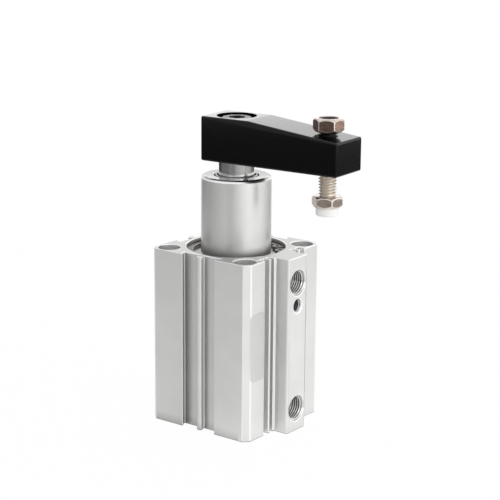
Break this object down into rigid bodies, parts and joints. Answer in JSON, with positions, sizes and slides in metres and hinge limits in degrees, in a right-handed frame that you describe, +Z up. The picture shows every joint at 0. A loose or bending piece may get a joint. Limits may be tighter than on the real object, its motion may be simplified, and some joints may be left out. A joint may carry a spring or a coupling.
{
  "type": "swing clamp cylinder",
  "caption": "Square-bodied pneumatic swing clamp cylinder with sensor grooves, side air ports, long rod boss and a tapered clamp arm carrying an adjustable padded bolt.",
  "frame": {"origin": "centre of the base, on the rod axis, in the plane of the square body's underside", "axes": "+Z up along the piston rod, +X towards the side with the two air ports, where the clamp arm also points at rest"},
  "size_m": [0.1, 0.064, 0.1675],
  "materials": {
    "tube_aluminium": "clear anodised, satin",
    "cover_aluminium": "turned and clear anodised",
    "spring_steel": "phosphated spring steel",
    "seal_rubber": "nitrile rubber",
    "wiper_rubber": "black scraper ring",
    "bush_brass": "sintered bearing bronze",
    "hardened_steel": "hardened and ground",
    "bumper_rubber": "urethane rubber",
    "wear_ring_plastic": "bearing resin",
    "piston_aluminium": "turned",
    "magnet": "plastic-bonded magnet",
    "rod_chrome": "hard chrome, ground",
    "arm_paint": "glossy black",
    "black_steel": "black oxide",
    "bolt_nickel": "dull nickel",
    "pad_plastic": "white moulded plastic"
  },
  "bodies": {
    "cylinder": {"cylinder_tube": "tube_aluminium", "rod_cover": "cover_aluminium", "cover_retaining_ring": "spring_steel", "cover_o_ring": "seal_rubber", "rod_bush": "bush_brass", "rod_seal": "seal_rubber", "rod_wiper": "wiper_rubber", "guide_pin_rear": "hardened_steel", "guide_pin_front": "hardened_steel", "cover_set_screw": "hardened_steel", "rod_bumper": "bumper_rubber", "head_cover": "cover_aluminium", "head_cover_o_ring": "seal_rubber", "head_retaining_ring": "spring_steel", "head_bumper": "bumper_rubber"},
    "piston_rings": {"piston_seal": "seal_rubber", "wear_ring": "wear_ring_plastic"},
    "rod": {"piston": "piston_aluminium", "piston_magnet": "magnet", "piston_nut": "hardened_steel", "piston_rod": "rod_chrome", "rod_static_ring": "seal_rubber", "clamp_arm": "arm_paint", "arm_washer": "black_steel", "arm_screw": "black_steel"},
    "pad": {"contact_pad": "pad_plastic"},
    "bolt": {"contact_bolt": "bolt_nickel"},
    "nut": {"lock_nut": "bolt_nickel"}
  },
  "joints": [
    {"name": "rod_stroke", "type": "slide", "parent": "cylinder", "child": "piston_rings", "axis": [0, 0, 1], "range_m": [0, 0.039]},
    {"name": "arm_swing", "type": "hinge", "parent": "piston_rings", "child": "rod", "pos_m": [0, 0, 0.06], "axis": [0, 0, 1], "range_deg": [0, 90]},
    {"name": "bolt_feed", "type": "slide", "parent": "rod", "child": "pad", "axis": [0, 0, 1], "range_m": [-0.002, 0.012]},
    {"name": "bolt_turn", "type": "hinge", "parent": "pad", "child": "bolt", "pos_m": [0.0551, 0.00337, 0.125], "axis": [0, 0, 1], "range_deg": [-500, 2900]},
    {"name": "lock_nut_slide", "type": "slide", "parent": "rod", "child": "nut", "axis": [0, 0, 1], "range_m": [-0.0007, 0.001]}
  ],
  "couplings": [
    {"joint": "arm_swing", "follows": "rod_stroke", "rad_per_m": 40.276},
    {"joint": "bolt_turn", "follows": "bolt_feed", "rad_per_m": 4188.8}
  ]
}
